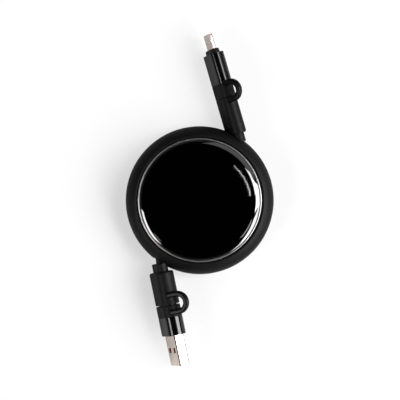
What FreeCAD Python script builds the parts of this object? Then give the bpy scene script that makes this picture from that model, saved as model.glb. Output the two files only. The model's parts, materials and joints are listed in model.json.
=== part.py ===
import FreeCAD, Part
import math
import os
from types import SimpleNamespace

from FreeCAD import Matrix, Placement, Rotation, Vector

# Retractable charging cable, in millimetres. A round case holds a spring reel, and a flat cable leaves
# it at two opposite tangents. Each end has a plug, and each plug wears an adapter on a soft tether.
# The origin is the middle of the case's underside, +Z is up, and +Y is towards the upper plug.

# Clearances
SEAT = 0.05  # a fixed piece in its seat
RUNNING = 0.08  # the reel on its post
POCKET_GAP = 0.2  # a plug in its pocket in the case
LEAD_GAP = 0.2  # the cable in its slot in the case
CABLE_ROOM = 0.3  # the wound cable between the flanges
REEL_ROOM = 0.4  # the reel under the deck
REEL_GAP = 0.8  # the flanges inside their bay
WIND_GAP = 0.15  # the wound cable beside the drum and the leads
THRUST_GAP = 0.1  # the drum above its thrust face
SOCKET_GAP = 0.12  # an oval plug in its socket
TONGUE_GAP = 0.1  # a socket's tongue in its plug
TETHER_GAP = 0.1  # a tether above the collar it is led to

# Cable and reel
CABLE_WIDTH = 4.8
CABLE_THICKNESS = 1.4
WIND_RADIUS = 23.4  # middle of the outermost turn, where the lower lead leaves
LEAD_STEP = 0.55  # the upper lead leaves outside the lower one
RIDGE_DEPTH = 0.5
POST_RADIUS = 3.0
POST_SLOT = 0.8
THRUST_RADIUS = 5.5
DRUM_RADIUS = 10.0
DRUM_WALL = 1.0
FLANGE_THICKNESS = 1.2
COVER_THICKNESS = 1.0
SPIGOT_HEIGHT = 0.7
SPIGOT_WALL = 0.9
SPRING_THICKNESS = 0.25
SPRING_TURNS = 6
SPRING_ROOM = 0.2
SPRING_START = 0.5  # first turn outside the post
SPRING_END = 0.4  # last turn inside the drum
BALL_RADIUS = 0.75
TRACK_RADIUS = 13.8
TRACK_WIDTH = 1.9
TRACK_PITCH = 3.4
TRACK_DEPTH = 0.6
TRACK_LINKS = 4
LINK_SKEW = 35.0  # degrees
BALL_ANGLE = 140.0  # degrees from +X
BALL_CHANNEL_WALL = 1.2

# The case
CASE_WALL = 1.8
DECK_THICKNESS = 1.4
CAP_SEAT_DEPTH = 2.0
RING_WIDTH = 5.0  # round the cap, seen from above
RIM_ROUND = 0.4
LIP_THICKNESS = 0.8
LIP_HEIGHT = 0.8
SCREW_RADIUS = 0.8
SCREW_LENGTH = 6.0
HEAD_RADIUS = 1.3
HEAD_HEIGHT = 0.8
HEAD_LAND = 0.3  # screw head to the wall of the cap's seat
BOSS_RADIUS = 1.5
SCREW_ANGLES = (0.0, 110.0, 180.0, 290.0)  # degrees from +X

# Cap
TRIM_GAP = 0.6
TRIM_WIDTH = 0.65
TRIM_STAND = 0.25  # above the rim of the ring
ADHESIVE_THICKNESS = 0.2
ADHESIVE_WIDTH = 5.0
CAP_SIDE = 1.6  # upright side of the cap
CAP_EDGE_ROUND = 0.6
CAP_SHOULDER_ROUND = 5.4
CAP_SIDE_SLOPE = 85.0  # degrees, where the side meets the edge round
CAP_EDGE_SLOPE = 32.0  # degrees, where the edge round meets the shoulder
CAP_CROWN_SLOPE = 3.0  # degrees, where the shoulder meets the crown
CAP_WALL = 1.5

# Oval plugs, sockets and boards, the same at both ends
OVAL_WIDTH = 8.25
OVAL_THICKNESS = 2.4
OVAL_LENGTH = 6.5
OVAL_EMBED = 2.0
SHEET = 0.3  # metal of the oval and box shells
INSERT_SETBACK = 0.4
TONGUE_WIDTH = 6.7
TONGUE_THICKNESS = 0.7
TONGUE_LENGTH = 4.8
SLOT_DEPTH = 5.6
SOCKET_DEPTH = 7.2
BOARD_WIDTH = 7.0
BOARD_THICKNESS = 1.0
BOARD_ROOM = 0.5
BOARD_GAP = 0.1
SKIN = 0.9  # collars and sleeves

# Upper plug and adapter
UPPER_HEADING = 106.2  # degrees from +X
UPPER_ROLL = 114.0  # degrees, the wide way of the plug turned up from the case's side
UPPER_SETBACK = 0.3  # plug body past the edge of the case, on the plug's axis
UPPER_WIDTH = 12.7
UPPER_THICKNESS = 6.7
UPPER_RELIEF_LENGTH = 3.9
UPPER_RELIEF_WIDTH = 9.1
UPPER_RELIEF_THICKNESS = 4.8
UPPER_BODY_LENGTH = 16.8
UPPER_STANDOFF = 0.1
UPPER_COLLAR_LENGTH = 6.5
UPPER_SLEEVE_LENGTH = 13.9
UPPER_TETHER_TILT = 29.0  # degrees from the wide way
UPPER_TETHER_REACH = 9.6
UPPER_TETHER_LAND = -0.95  # its front edge behind the collar's front
NOSE_LENGTH = 2.1
NOSE_WIDTH = 9.2
NOSE_THICKNESS = 4.4
NOSE_DRAFT = 0.2  # its sides, drawn in from base to front
NOSE_ROUND = 0.5
TAB_WIDTH = 6.7
TAB_THICKNESS = 1.5
TAB_LENGTH = 6.9
TAB_TAIL = 4.0
TAB_CORNER = 1.3
TAB_EDGE = 0.45
NOTCH_RADIUS = 0.5
NOTCH_DEPTH = 0.3
PAD_COUNT = 8
PAD_PITCH = 0.7
PAD_WIDTH = 0.5
PAD_LENGTH = 2.6
PAD_THICKNESS = 0.12
PAD_FROM_TIP = 1.0
PAD_BORDER = 0.2

# Lower plug and adapter
LOWER_HEADING = 281.7  # degrees from +X
LOWER_ROLL = 68.5  # degrees, the wide way of the plug turned up from the case's side
LOWER_SETBACK = 4.5
LOWER_WIDTH = 15.0
LOWER_THICKNESS = 8.6
LOWER_RELIEF_LENGTH = 3.8
LOWER_RELIEF_WIDTH = 10.1
LOWER_RELIEF_THICKNESS = 5.2
LOWER_BODY_LENGTH = 14.8
LOWER_STANDOFF = 0.5
LOWER_COLLAR_LENGTH = 4.95
LOWER_SLEEVE_LENGTH = 8.35
LOWER_TETHER_TILT = 46.5  # degrees from the wide way
LOWER_TETHER_REACH = 10.6
LOWER_TETHER_LAND = 0.7  # its front edge behind the collar's front
MOUTH_WALL = 1.2  # rim round the lower socket, in the slit behind the collar
BOX_WIDTH = 12.0
BOX_THICKNESS = 4.5
BOX_LENGTH = 13.7
BOX_CORNER = 0.4
BOX_TAIL_WIDTH = 9.6
BOX_TAIL_THICKNESS = 3.7
BOX_TAIL_LENGTH = 3.0
HOLE_SIZE = 2.4
HOLE_SPACING = 5.7
HOLE_FROM_TIP = 6.95
INSULATOR_THICKNESS = 1.9
INSULATOR_GAP = 0.2
INSULATOR_SETBACK = 0.6
STRIP_WIDTH = 1.1
STRIP_LENGTH = 7.6
STRIP_THICKNESS = 0.2
STRIP_SETBACK = 1.0
STRIP_PLACES = (-3.5, -1.0, 1.0, 3.5)  # across the insulator

# Plug bodies and tethers
BODY_ROUND = 0.9
RELIEF_ROUND = 0.4
TETHER_SIZE = 2.5
TETHER_CORNER = 0.9
TETHER_BEND = 3.9
TETHER_START = 1.4
TETHER_PROUD = 0.6

# Levels, worked out from the reel's stack of flange, cable, cover and deck
AXIS_Z = CABLE_WIDTH / 2 + CABLE_ROOM + COVER_THICKNESS + REEL_ROOM + DECK_THICKNESS + CAP_SEAT_DEPTH
CASE_HEIGHT = 2 * AXIS_Z
DECK_TOP = CASE_HEIGHT - CAP_SEAT_DEPTH
CEILING = DECK_TOP - DECK_THICKNESS
FLANGE_TOP = AXIS_Z - CABLE_WIDTH / 2 - CABLE_ROOM
FLANGE_BOTTOM = FLANGE_TOP - FLANGE_THICKNESS
COVER_BOTTOM = AXIS_Z + CABLE_WIDTH / 2 + CABLE_ROOM
POST_TOP = COVER_BOTTOM + COVER_THICKNESS

# Radii, worked out from the reel outwards
COIL_RADIUS = WIND_RADIUS - CABLE_THICKNESS / 2 - WIND_GAP
FLANGE_RADIUS = WIND_RADIUS + CABLE_THICKNESS / 2
BAY_RADIUS = FLANGE_RADIUS + REEL_GAP
SCREW_CIRCLE = BAY_RADIUS + BOSS_RADIUS
CAP_SEAT_RADIUS = SCREW_CIRCLE + HEAD_RADIUS + HEAD_LAND
CASE_RADIUS = CAP_SEAT_RADIUS + RING_WIDTH
EDGE_CIRCLE = CASE_RADIUS - AXIS_Z
RIM_Z = AXIS_Z + math.sqrt(AXIS_Z**2 - (CAP_SEAT_RADIUS - EDGE_CIRCLE) ** 2)
DRUM_BORE = DRUM_RADIUS - DRUM_WALL
TRIM_OUTER = CAP_SEAT_RADIUS - TRIM_GAP
TRIM_INNER = TRIM_OUTER - TRIM_WIDTH
CAP_RADIUS = TRIM_INNER - SEAT
CAP_BOTTOM = DECK_TOP + ADHESIVE_THICKNESS
SOCKET_WIDTH = OVAL_WIDTH + 2 * SOCKET_GAP
SOCKET_THICKNESS = OVAL_THICKNESS + 2 * SOCKET_GAP
SOCKET_SEAT_WIDTH = SOCKET_WIDTH + 2 * SHEET + 2 * SEAT
SOCKET_SEAT_THICKNESS = SOCKET_THICKNESS + 2 * SHEET + 2 * SEAT

X_AXIS = Vector(1, 0, 0)
Z_AXIS = Vector(0, 0, 1)
ORIGIN = Vector(0, 0, 0)


def chain(points):
    """Closed wire in the XZ plane. A point of four numbers is reached by an arc over its first two."""
    edges = []
    at = Vector(points[-1][-2], 0, points[-1][-1])
    for point in points:
        end = Vector(point[-2], 0, point[-1])
        if len(point) == 4:
            edges.append(Part.Arc(at, Vector(point[0], 0, point[1]), end).toShape())
        else:
            edges.append(Part.LineSegment(at, end).toShape())
        at = end
    return Part.Wire(edges)


def turned(points):
    """Solid of revolution about the Z axis, from an outline of radii and heights."""
    return Part.Face(chain(points)).revolve(ORIGIN, Z_AXIS, 360)


def ring(inner, outer, bottom, top):
    return turned([(inner, bottom), (outer, bottom), (outer, top), (inner, top)])


def disc(radius, bottom, top):
    return Part.makeCylinder(radius, top - bottom, Vector(0, 0, bottom))


def arc_point(centre, radius, degrees):
    angle = math.radians(degrees)
    return (centre[0] + radius * math.cos(angle), centre[1] + radius * math.sin(angle))


def section(x, width, thickness, corner=None):
    """Rounded oblong across the X axis. With no corner given, its ends are half rounds."""
    r = thickness / 2 if corner is None else corner
    y, z = width / 2 - r, thickness / 2 - r
    edges, first, last = [], None, None
    for sy, sz, start in ((1, 1, 0), (-1, 1, 90), (-1, -1, 180), (1, -1, 270)):
        centre = (sy * y, sz * z)
        a, m, b = (Vector(x, *arc_point(centre, r, start + turn)) for turn in (0, 45, 90))
        if last is not None and last.distanceToPoint(a) > 1e-6:
            edges.append(Part.LineSegment(last, a).toShape())
        edges.append(Part.Arc(a, m, b).toShape())
        first, last = first or a, b
    if last.distanceToPoint(first) > 1e-6:
        edges.append(Part.LineSegment(last, first).toShape())
    return Part.Wire(edges)


def bar(start, end, width, thickness, corner=None):
    return Part.Face(section(start, width, thickness, corner)).extrude(Vector(end - start, 0, 0))


def tube(start, end, width, thickness, wall):
    hole = bar(start, end, width - 2 * wall, thickness - 2 * wall)
    return bar(start, end, width, thickness).cut(hole)


def block(start, end, width, bottom, top):
    """Box along the X axis, middled on it across its width."""
    return Part.makeBox(end - start, width, top - bottom, Vector(start, -width / 2, bottom))


def eased(solid, x, radius):
    """The solid with all edges in one plane across the X axis rounded."""
    edges = [e for e in solid.Edges if max(abs(e.BoundBox.XMin - x), abs(e.BoundBox.XMax - x)) < 1e-4]
    return solid.makeFillet(radius, edges)


def around(shape, angles):
    """Copies of a shape turned about the Z axis."""
    copies = []
    for angle in angles:
        copy = shape.copy()
        copy.rotate(ORIGIN, Z_AXIS, angle)
        copies.append(copy)
    return copies


def placed(shape, placement):
    moved = shape.copy()
    moved.Placement = placement.multiply(moved.Placement)
    return moved


def exit_frame(heading, radius):
    """X along a plug's axis, Y towards the case's middle, Z up, at the foot of the tangent."""
    turn = Rotation(Z_AXIS, heading)
    foot = turn.multVec(Vector(0, -radius, 0)) + Vector(0, 0, AXIS_Z)
    return Placement(foot, turn)


def plug_sizes(name, exit_radius, heading, roll, setback, width, thickness, lengths, relief, strap, hidden):
    """The stations of one plug and its adapter along their axis, from the foot of the tangent."""
    relief_length, body_length, standoff, collar_length, sleeve_length = lengths
    side = SimpleNamespace(name=name, roll=roll, width=width, thickness=thickness, hidden=hidden)
    side.relief_width, side.relief_thickness = relief
    side.strap_tilt, side.strap_reach, side.strap_land = strap
    side.frame = exit_frame(heading, exit_radius)
    side.placement = side.frame.multiply(Placement(ORIGIN, Rotation(X_AXIS, roll)))
    side.body_rear = math.sqrt(CASE_RADIUS**2 - WIND_RADIUS**2) + setback
    side.relief_rear = side.body_rear - relief_length
    side.body_front = side.body_rear + body_length
    side.oval_tip = side.body_front + OVAL_LENGTH
    side.collar_rear = side.body_front + standoff
    side.collar_front = side.collar_rear + collar_length
    side.sleeve_front = side.collar_front + sleeve_length
    side.socket_back = side.collar_rear + SOCKET_DEPTH + SHEET
    side.core_width = width - 2 * SKIN - 2 * SEAT
    side.core_thickness = thickness - 2 * SKIN - 2 * SEAT
    lean = math.radians(roll)
    side.reach = (width - thickness) / 2 * abs(math.cos(lean)) + thickness / 2
    side.lead_reach = (CABLE_WIDTH * abs(math.cos(lean)) + CABLE_THICKNESS * abs(math.sin(lean))) / 2
    return side


UPPER = plug_sizes(
    "upper",
    WIND_RADIUS + LEAD_STEP,
    UPPER_HEADING,
    UPPER_ROLL,
    UPPER_SETBACK,
    UPPER_WIDTH,
    UPPER_THICKNESS,
    (UPPER_RELIEF_LENGTH, UPPER_BODY_LENGTH, UPPER_STANDOFF, UPPER_COLLAR_LENGTH, UPPER_SLEEVE_LENGTH),
    (UPPER_RELIEF_WIDTH, UPPER_RELIEF_THICKNESS),
    (UPPER_TETHER_TILT, UPPER_TETHER_REACH, UPPER_TETHER_LAND),
    1,
)
LOWER = plug_sizes(
    "lower",
    WIND_RADIUS,
    LOWER_HEADING,
    LOWER_ROLL,
    LOWER_SETBACK,
    LOWER_WIDTH,
    LOWER_THICKNESS,
    (LOWER_RELIEF_LENGTH, LOWER_BODY_LENGTH, LOWER_STANDOFF, LOWER_COLLAR_LENGTH, LOWER_SLEEVE_LENGTH),
    (LOWER_RELIEF_WIDTH, LOWER_RELIEF_THICKNESS),
    (LOWER_TETHER_TILT, LOWER_TETHER_REACH, LOWER_TETHER_LAND),
    -1,
)


def case_envelope():
    """The case as one lump: flat underside, half-round edge and the recess for the cap."""
    edge_middle = (CASE_RADIUS, AXIS_Z)
    lump = turned(
        [
            (0, 0),
            (EDGE_CIRCLE, 0),
            (*edge_middle, CAP_SEAT_RADIUS, RIM_Z),
            (CAP_SEAT_RADIUS, DECK_TOP),
            (0, DECK_TOP),
        ]
    )
    rim = [
        e
        for e in lump.Edges
        if abs(e.BoundBox.ZMin - RIM_Z) < 1e-3 and abs(e.BoundBox.ZMax - RIM_Z) < 1e-3
    ]
    return lump.makeFillet(RIM_ROUND, rim)


def plug_carriers(room=0):
    """The solid stretches of the case that carry the plugs' pockets, with some room round them."""
    carriers = []
    for side in (UPPER, LOWER):
        start = side.relief_rear - POCKET_GAP - CASE_WALL - room
        width = 2 * (side.reach + POCKET_GAP + CASE_WALL + room)
        carriers.append(placed(block(start, CASE_RADIUS, width, -AXIS_Z, AXIS_Z), side.frame))
    return carriers


def case_hollow():
    """The room inside the case, less the plugs' carriers."""
    inner = AXIS_Z - CASE_WALL
    rise = math.degrees(math.asin((CEILING - AXIS_Z) / inner))
    centre = (EDGE_CIRCLE, AXIS_Z)
    room = turned(
        [
            (0, CASE_WALL),
            (EDGE_CIRCLE, CASE_WALL),
            (*arc_point(centre, inner, (rise - 90) / 2), *arc_point(centre, inner, rise)),
            (0, CEILING),
        ]
    )
    bay = disc(BAY_RADIUS, 0, CASE_HEIGHT)
    return room.cut([carrier.cut(bay) for carrier in plug_carriers()])


def plug_pockets():
    """What each plug and its cable need free in the case, drawn out along the plug's axis."""
    pockets = []
    for side in (UPPER, LOWER):
        gap = 2 * POCKET_GAP
        relief = bar(
            side.relief_rear - POCKET_GAP,
            CASE_RADIUS,
            side.relief_width + gap,
            side.relief_thickness + gap,
        )
        body = bar(side.body_rear - POCKET_GAP, 2 * CASE_RADIUS, side.width + gap, side.thickness + gap)
        height = CABLE_WIDTH / 2 + LEAD_GAP
        lead = block(0, CASE_RADIUS, 2 * (side.lead_reach + LEAD_GAP), -height, height)
        pockets += [
            placed(relief, side.placement),
            placed(body, side.placement),
            placed(lead, side.frame),
        ]
    return pockets


def case_halves():
    shell = case_envelope().cut(case_hollow())
    below = disc(2 * CASE_RADIUS, -CASE_HEIGHT, AXIS_Z)
    wall_inside = CASE_RADIUS - CASE_WALL
    lip = ring(wall_inside, wall_inside + LIP_THICKNESS, AXIS_Z - LIP_HEIGHT, AXIS_Z + LIP_HEIGHT)
    lip = lip.cut(plug_carriers(SEAT))
    groove = ring(
        wall_inside - LIP_THICKNESS,
        wall_inside + LIP_THICKNESS + SEAT,
        AXIS_Z,
        AXIS_Z + LIP_HEIGHT + SEAT,
    ).cut(plug_carriers())
    at_screw = Vector(SCREW_CIRCLE, 0, 0)
    boss = disc(BOSS_RADIUS, CASE_WALL / 2, CEILING - SEAT)
    head_floor = DECK_TOP - HEAD_HEIGHT - SEAT
    pilot = disc(SCREW_RADIUS + SEAT, head_floor - SCREW_LENGTH - SEAT, CASE_HEIGHT)
    sink = disc(HEAD_RADIUS + SEAT, head_floor, CASE_HEIGHT)
    for shape in (boss, pilot, sink):
        shape.translate(at_screw)
    post = disc(POST_RADIUS, CASE_WALL / 2, POST_TOP)
    slot_top = POST_TOP + SEAT
    slot = Part.makeBox(POST_RADIUS, POST_SLOT, slot_top - FLANGE_TOP, Vector(0, -POST_SLOT / 2, FLANGE_TOP))
    thrust = disc(THRUST_RADIUS, CASE_WALL / 2, FLANGE_BOTTOM - THRUST_GAP)
    pilots = around(pilot, SCREW_ANGLES)
    sinks = around(sink, SCREW_ANGLES)
    pockets = plug_pockets()
    base = shell.common(below).fuse([lip, post, thrust, ball_channel(), *around(boss, SCREW_ANGLES)])
    base = base.cut([*pilots, slot, *pockets]).removeSplitter()
    top = shell.cut(below).cut([groove, *pilots, *sinks, *pockets]).removeSplitter()
    shank = disc(SCREW_RADIUS, head_floor - SCREW_LENGTH, head_floor)
    screw = shank.fuse(disc(HEAD_RADIUS, head_floor, head_floor + HEAD_HEIGHT)).removeSplitter()
    screw.translate(at_screw)
    return base, top, Part.makeCompound(around(screw, SCREW_ANGLES))


def ball_floor():
    return FLANGE_BOTTOM + TRACK_DEPTH - 2 * (BALL_RADIUS + SEAT)


def ball_channel():
    """The radial trough in the base that keeps the ratchet ball under the drum's track."""
    inner = TRACK_RADIUS - BALL_RADIUS - SEAT
    outer = TRACK_RADIUS + TRACK_PITCH + BALL_RADIUS + SEAT
    width = 2 * (BALL_RADIUS + SEAT)
    top = FLANGE_BOTTOM - THRUST_GAP
    wall = BALL_CHANNEL_WALL
    trough = block(inner - wall, outer + wall, width + 2 * wall, CASE_WALL / 2, top)
    trough = trough.cut(block(inner, outer, width, ball_floor(), top))
    return around(trough, [BALL_ANGLE])[0]


def ratchet_ball():
    ball = Part.makeSphere(BALL_RADIUS, Vector(TRACK_RADIUS, 0, ball_floor() + BALL_RADIUS + SEAT))
    return around(ball, [BALL_ANGLE])[0]


def cap_profile():
    """Outline of the cap's outside from its side up to the middle of its crown, as arcs."""
    points, at = [], (CAP_RADIUS, CAP_BOTTOM + CAP_SIDE)
    slopes = (CAP_SIDE_SLOPE, CAP_EDGE_SLOPE, CAP_CROWN_SLOPE)
    rounds = (CAP_EDGE_ROUND, CAP_SHOULDER_ROUND)
    for radius, steep, gentle in zip(rounds, slopes, slopes[1:]):
        centre = arc_point(at, radius, 270 - steep)
        middle = arc_point(centre, radius, 90 - (steep + gentle) / 2)
        at = arc_point(centre, radius, 90 - gentle)
        points.append((*middle, *at))
    crown = at[0] / math.sin(math.radians(CAP_CROWN_SLOPE))
    centre = arc_point(at, crown, 270 - CAP_CROWN_SLOPE)
    points.append((*arc_point(centre, crown, 90 - CAP_CROWN_SLOPE / 2), 0, centre[1] + crown))
    return points


def cap_pieces():
    profile = cap_profile()
    shoulder_radius, shoulder_z = profile[1][2:]
    hollow_top = shoulder_z - CAP_WALL
    cap = turned(
        [
            (0, hollow_top),
            (shoulder_radius, hollow_top),
            (shoulder_radius, CAP_BOTTOM),
            (CAP_RADIUS, CAP_BOTTOM),
            (CAP_RADIUS, CAP_BOTTOM + CAP_SIDE),
            *profile,
        ]
    )
    trim_round = TRIM_WIDTH / 2
    trim_side = RIM_Z + TRIM_STAND - trim_round
    trim = turned(
        [
            (TRIM_INNER, DECK_TOP),
            (TRIM_OUTER, DECK_TOP),
            (TRIM_OUTER, trim_side),
            (TRIM_OUTER - trim_round, trim_side + trim_round, TRIM_INNER, trim_side),
        ]
    )
    adhesive = ring(CAP_RADIUS - ADHESIVE_WIDTH, CAP_RADIUS - SEAT, DECK_TOP, CAP_BOTTOM)
    return cap, trim, adhesive


def reel_pieces():
    bore = POST_RADIUS + RUNNING
    drum = turned(
        [
            (bore, FLANGE_BOTTOM),
            (FLANGE_RADIUS, FLANGE_BOTTOM),
            (FLANGE_RADIUS, FLANGE_TOP),
            (DRUM_RADIUS, FLANGE_TOP),
            (DRUM_RADIUS, COVER_BOTTOM),
            (DRUM_BORE, COVER_BOTTOM),
            (DRUM_BORE, FLANGE_TOP),
            (bore, FLANGE_TOP),
        ]
    )
    track_top = FLANGE_BOTTOM + TRACK_DEPTH
    lanes = [
        ring(r - TRACK_WIDTH / 2, r + TRACK_WIDTH / 2, FLANGE_BOTTOM, track_top)
        for r in (TRACK_RADIUS, TRACK_RADIUS + TRACK_PITCH)
    ]
    link_length = TRACK_PITCH / math.cos(math.radians(LINK_SKEW))
    link = block(-link_length / 2, link_length / 2, TRACK_WIDTH, FLANGE_BOTTOM, track_top)
    link.rotate(ORIGIN, Z_AXIS, LINK_SKEW)
    link.translate(Vector(TRACK_RADIUS + TRACK_PITCH / 2, 0, 0))
    step = 360 / TRACK_LINKS
    drum = drum.cut([*lanes, *around(link, [i * step for i in range(TRACK_LINKS)])])
    spigot = DRUM_BORE - SEAT
    cover = turned(
        [
            (bore, COVER_BOTTOM),
            (spigot - SPIGOT_WALL, COVER_BOTTOM),
            (spigot - SPIGOT_WALL, COVER_BOTTOM - SPIGOT_HEIGHT),
            (spigot, COVER_BOTTOM - SPIGOT_HEIGHT),
            (spigot, COVER_BOTTOM),
            (FLANGE_RADIUS, COVER_BOTTOM),
            (FLANGE_RADIUS, COVER_BOTTOM + COVER_THICKNESS),
            (bore, COVER_BOTTOM + COVER_THICKNESS),
        ]
    )
    return drum.removeSplitter(), cover


def mainspring():
    """Flat spiral of half turns, with its inner end bent into the slot of the post."""
    first = POST_RADIUS + SPRING_START
    last = DRUM_BORE - SPRING_END
    pitch = (last - first) / SPRING_TURNS
    half = SPRING_THICKNESS / 2
    bottom = FLANGE_TOP + SPRING_ROOM
    height = COVER_BOTTOM - SPIGOT_HEIGHT - SPRING_ROOM - bottom

    def rail(offset):
        edges = []
        for i in range(2 * SPRING_TURNS):
            r = first + i * pitch / 2 + offset
            centre, start = ((0, 0), 0) if i % 2 == 0 else ((pitch / 2, 0), 180)
            points = [Vector(*arc_point(centre, r, start + turn), bottom) for turn in (0, 90, 180)]
            edges.append(Part.Arc(*points).toShape())
        return edges

    inner, outer = rail(-half), rail(half)
    ends = [
        Part.LineSegment(Vector(first - half, 0, bottom), Vector(first + half, 0, bottom)).toShape(),
        Part.LineSegment(Vector(last - half, 0, bottom), Vector(last + half, 0, bottom)).toShape(),
    ]
    strip = Part.Face(Part.Wire(Part.__sortEdges__([*inner, *outer, *ends])))
    spiral = strip.extrude(Vector(0, 0, height))
    tab_start = POST_RADIUS / 2
    tab = Part.makeBox(first - tab_start, SPRING_THICKNESS, height, Vector(tab_start, 0, bottom))
    return spiral.fuse(tab).removeSplitter()


def cable_coil():
    """The wound cable: one ring, ridged where its pairs of turns lie side by side."""
    inner = DRUM_RADIUS + WIND_GAP
    pairs = int((COIL_RADIUS - inner) / (2 * CABLE_THICKNESS))
    pitch = (COIL_RADIUS - inner) / pairs
    top, bottom = AXIS_Z + CABLE_WIDTH / 2, AXIS_Z - CABLE_WIDTH / 2
    over, under = [(inner, top - RIDGE_DEPTH)], [(inner, bottom + RIDGE_DEPTH)]
    for i in range(pairs):
        valley = inner + (i + 1) * pitch
        crest = valley - pitch / 2
        over += [(crest, top), (valley, top - RIDGE_DEPTH)]
        under += [(crest, bottom), (valley, bottom + RIDGE_DEPTH)]
    return turned([*under, *reversed(over)])


def lead(side):
    """Flat cable from the coil to the plug: upright in the case, then twisted to the plug's roll."""
    twist_start = side.relief_rear / 2
    sections = []
    for x, roll in ((0, 90), (twist_start, 90), (side.relief_rear, side.roll)):
        wide = Vector(0, *arc_point((0, 0), CABLE_WIDTH / 2, roll))
        thick = Vector(0, *arc_point((0, 0), CABLE_THICKNESS / 2, roll + 90))
        at = Vector(x, 0, 0)
        corners = [at + wide + thick, at - wide + thick, at - wide - thick, at + wide - thick]
        sections.append(Part.makePolygon([*corners, corners[0]]))
    return placed(Part.makeLoft(sections, True, True), side.frame)


def tether(side):
    """Strap bent to a U, from the rounded top of the plug body over to the collar."""
    bend_start = side.strap_reach - TETHER_BEND - TETHER_SIZE / 2
    leg = bar(TETHER_START, bend_start, TETHER_SIZE, TETHER_SIZE, TETHER_CORNER)
    legs = [placed(leg, Placement(Vector(0, y, 0), Rotation())) for y in (-TETHER_BEND, TETHER_BEND)]
    face = Part.Face(section(bend_start, TETHER_SIZE, TETHER_SIZE, TETHER_CORNER))
    face.translate(Vector(0, -TETHER_BEND, 0))
    bend = face.revolve(Vector(bend_start, 0, 0), Z_AXIS, 180)
    strap = bend.fuse(legs).removeSplitter()
    tilt = math.radians(side.strap_tilt)
    out = Vector(0, math.cos(tilt), side.hidden * math.sin(tilt))
    across = out.cross(X_AXIS)
    lift = side.thickness / 2 + TETHER_PROUD - TETHER_SIZE / 2
    middle = side.collar_front - side.strap_land - TETHER_SIZE / 2 - TETHER_BEND
    at = Vector(middle, (side.width - side.thickness) / 2, 0) + across * (side.hidden * lift)
    turn = Matrix(
        *(out.x, X_AXIS.x, across.x, at.x),
        *(out.y, X_AXIS.y, across.y, at.y),
        *(out.z, X_AXIS.z, across.z, at.z),
        *(0, 0, 0, 1),
    )
    strap = placed(strap, Placement(turn))
    gap = 2 * TETHER_GAP
    body = bar(side.body_rear, side.body_front, side.width, side.thickness)
    adapter = bar(side.body_front, side.sleeve_front, side.width + gap, side.thickness + gap)
    return strap.cut([body, adapter])


def plug_pieces(side):
    """Strain relief, body, oval shell and insert of one plug, on the X axis."""
    relief = bar(side.relief_rear, side.body_rear, side.relief_width, side.relief_thickness)
    body = eased(bar(side.body_rear, side.body_front, side.width, side.thickness), side.body_rear, BODY_ROUND)
    embed = side.body_front - OVAL_EMBED
    body = body.cut(bar(embed, side.body_front, OVAL_WIDTH + 2 * SEAT, OVAL_THICKNESS + 2 * SEAT))
    inside = SHEET + SEAT
    insert = bar(
        embed,
        side.oval_tip - INSERT_SETBACK,
        OVAL_WIDTH - 2 * inside,
        OVAL_THICKNESS - 2 * inside,
    )
    slot = TONGUE_THICKNESS / 2 + TONGUE_GAP
    insert = insert.cut(
        block(side.oval_tip - SLOT_DEPTH, side.oval_tip, TONGUE_WIDTH + 2 * TONGUE_GAP, -slot, slot)
    )
    return {
        "strain_relief": eased(relief, side.relief_rear, RELIEF_ROUND),
        "plug_body": body,
        "plug_shell": tube(embed, side.oval_tip, OVAL_WIDTH, OVAL_THICKNESS, SHEET),
        "plug_insert": insert,
        "tether": tether(side),
    }


def adapter_pieces(side, tail_start):
    """Collar, sleeve, core, socket and board of one adapter, on the X axis."""
    rear = side.collar_rear
    wide, thick = SOCKET_WIDTH + 2 * SHEET, SOCKET_THICKNESS + 2 * SHEET
    socket = bar(rear, side.socket_back, wide, thick).cut(
        bar(rear, rear + SOCKET_DEPTH, SOCKET_WIDTH, SOCKET_THICKNESS)
    )
    tongue = TONGUE_THICKNESS / 2
    board = BOARD_THICKNESS / 2
    room = board + BOARD_ROOM
    core = bar(rear, side.sleeve_front, side.core_width, side.core_thickness)
    core = core.cut(
        [
            bar(rear, side.socket_back, SOCKET_SEAT_WIDTH, SOCKET_SEAT_THICKNESS),
            block(side.socket_back, tail_start, BOARD_WIDTH + 2 * SEAT, -room, room),
        ]
    )
    return {
        "collar": tube(rear, side.collar_front, side.width, side.thickness, SKIN),
        "sleeve": tube(side.collar_front, side.sleeve_front, side.width, side.thickness, SKIN),
        "core": core,
        "socket": socket,
        "socket_tongue": block(
            rear + SOCKET_DEPTH - TONGUE_LENGTH, rear + SOCKET_DEPTH, TONGUE_WIDTH, -tongue, tongue
        ),
        "board": block(side.socket_back + BOARD_GAP, tail_start - BOARD_GAP, BOARD_WIDTH, -board, board),
    }


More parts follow.
